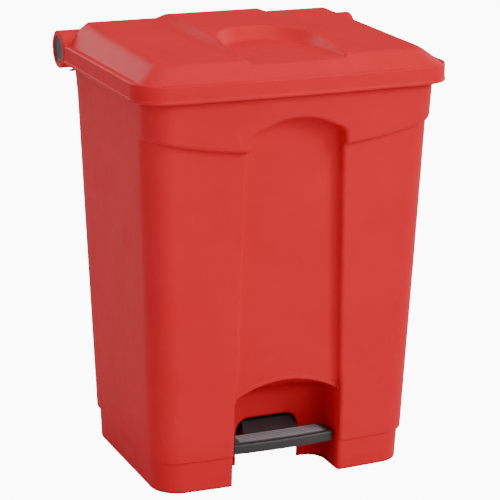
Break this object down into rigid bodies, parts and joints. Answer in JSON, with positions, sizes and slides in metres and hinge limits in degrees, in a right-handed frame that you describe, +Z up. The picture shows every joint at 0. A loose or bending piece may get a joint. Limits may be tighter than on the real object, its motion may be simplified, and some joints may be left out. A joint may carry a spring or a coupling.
{
  "type": "pedal waste bin",
  "caption": "Tapered moulded pedal bin with a hinged domed lid, a foot lever in a front niche and a rear push rod that lifts the lid.",
  "frame": {"origin": "on the floor, under the middle of the whole bin's box", "axes": "+X to the bin's left as it faces the user, -Y out of its front, +Z up"},
  "size_m": [0.5042, 0.4096, 0.682],
  "materials": {
    "red_plastic": "injection-moulded polyethylene, satin with a fine grain",
    "black_plastic": "moulded black plastic, satin",
    "grey_rubber": "ribbed matt rubber",
    "steel": "zinc plated",
    "nylon": "natural nylon"
  },
  "bodies": {
    "body": {"body_shell": "red_plastic", "axle_bracket_left": "black_plastic", "axle_bracket_right": "black_plastic", "bracket_screws": "steel", "pedal_axle": "steel", "axle_clips": "steel", "rod_guide_upper": "black_plastic", "rod_guide_lower": "black_plastic", "guide_screws": "steel", "hinge_rod": "steel", "hinge_rod_clips": "steel"},
    "lid": {"lid_shell": "red_plastic", "lid_cam": "black_plastic", "cam_screws": "steel", "hinge_bushes": "nylon", "hinge_cap_left": "black_plastic", "hinge_cap_right": "black_plastic"},
    "pedal_lever": {"pedal": "black_plastic", "pedal_tread": "grey_rubber", "lever_arm": "black_plastic", "pedal_screws": "steel", "pivot_bushes": "nylon"},
    "lift_rod": {"push_rod": "steel", "rod_tip": "black_plastic", "rod_foot": "black_plastic"}
  },
  "joints": [
    {"name": "lid_hinge", "type": "hinge", "parent": "body", "child": "lid", "pos_m": [0, 0.1749, 0.6335], "axis": [-1, 0, 0], "range_deg": [0, 75]},
    {"name": "pedal_pivot", "type": "hinge", "parent": "body", "child": "pedal_lever", "pos_m": [0, -0.02, 0.06], "axis": [1, 0, 0], "range_deg": [0, 12.1]},
    {"name": "rod_lift", "type": "slide", "parent": "body", "child": "lift_rod", "axis": [0, 0, 1], "range_m": [0, 0.0354]}
  ],
  "couplings": [
    {"joint": "pedal_pivot", "follows": "lid_hinge", "ratio": 0.16081},
    {"joint": "rod_lift", "follows": "lid_hinge", "m_per_rad": 0.027}
  ]
}
